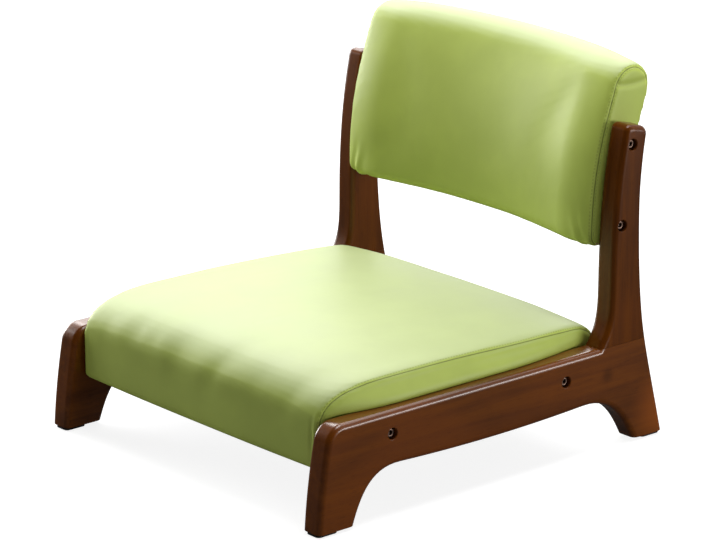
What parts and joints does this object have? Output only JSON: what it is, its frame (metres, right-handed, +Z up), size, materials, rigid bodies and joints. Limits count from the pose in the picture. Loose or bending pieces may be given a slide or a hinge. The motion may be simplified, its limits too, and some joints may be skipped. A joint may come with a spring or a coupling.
{
  "type": "floor chair",
  "caption": "Low armless floor chair: shaped timber side frames with curved posts, a crowned padded seat and a padded back curved in plan, held by recessed bolts",
  "frame": {"origin": "on the floor, under the middle of the chair's outline", "axes": "+X to the sitter's left, +Y to the rear, +Z up; the front faces -Y"},
  "size_m": [0.5, 0.5632, 0.465],
  "materials": {
    "walnut_stain": "walnut-brown stain under semi-gloss lacquer",
    "post_stain": "redder walnut-brown stain under semi-gloss lacquer",
    "beech": "bare",
    "whitewood": "bare, planed",
    "plywood": "bare, sanded",
    "green_cloth": "coated cover cloth, smooth with a soft sheen",
    "pale_foam": "cut foam",
    "black_cloth": "spun cloth",
    "black_felt": "pressed felt",
    "zinc_steel": "zinc plated"
  },
  "bodies": {
    "root": {"side_frame_left": "walnut_stain", "side_frame_right": "walnut_stain", "post_left": "post_stain", "post_right": "post_stain", "post_dowel_front_left": "beech", "post_dowel_rear_left": "beech", "post_dowel_front_right": "beech", "post_dowel_rear_right": "beech", "foot_pad_front_left": "black_felt", "foot_pad_rear_left": "black_felt", "foot_pad_front_right": "black_felt", "foot_pad_rear_right": "black_felt", "seat_front_bolt_left": "zinc_steel", "seat_front_washer_left": "zinc_steel", "seat_front_insert_left": "zinc_steel", "seat_rear_bolt_left": "zinc_steel", "seat_rear_washer_left": "zinc_steel", "seat_rear_insert_left": "zinc_steel", "back_lower_bolt_left": "zinc_steel", "back_lower_washer_left": "zinc_steel", "back_lower_insert_left": "zinc_steel", "back_upper_bolt_left": "zinc_steel", "back_upper_washer_left": "zinc_steel", "back_upper_insert_left": "zinc_steel", "seat_front_bolt_right": "zinc_steel", "seat_front_washer_right": "zinc_steel", "seat_front_insert_right": "zinc_steel", "seat_rear_bolt_right": "zinc_steel", "seat_rear_washer_right": "zinc_steel", "seat_rear_insert_right": "zinc_steel", "back_lower_bolt_right": "zinc_steel", "back_lower_washer_right": "zinc_steel", "back_lower_insert_right": "zinc_steel", "back_upper_bolt_right": "zinc_steel", "back_upper_washer_right": "zinc_steel", "back_upper_insert_right": "zinc_steel", "seat_cover": "green_cloth", "seat_gusset_left": "green_cloth", "seat_gusset_right": "green_cloth", "seat_foam": "pale_foam", "seat_side_rail_left": "whitewood", "seat_side_rail_right": "whitewood", "seat_front_rail": "whitewood", "seat_rear_rail": "whitewood", "seat_deck": "plywood", "seat_dust_cover": "black_cloth", "seat_corner_block_front_right": "whitewood", "seat_corner_block_front_left": "whitewood", "seat_corner_block_rear_left": "whitewood", "seat_corner_block_rear_right": "whitewood", "back_cover": "green_cloth", "back_gusset_left": "green_cloth", "back_gusset_right": "green_cloth", "back_foam": "pale_foam", "back_stile_left": "whitewood", "back_stile_right": "whitewood", "back_top_rail": "whitewood", "back_bottom_rail": "whitewood", "back_panel": "plywood"}
  },
  "joints": []
}
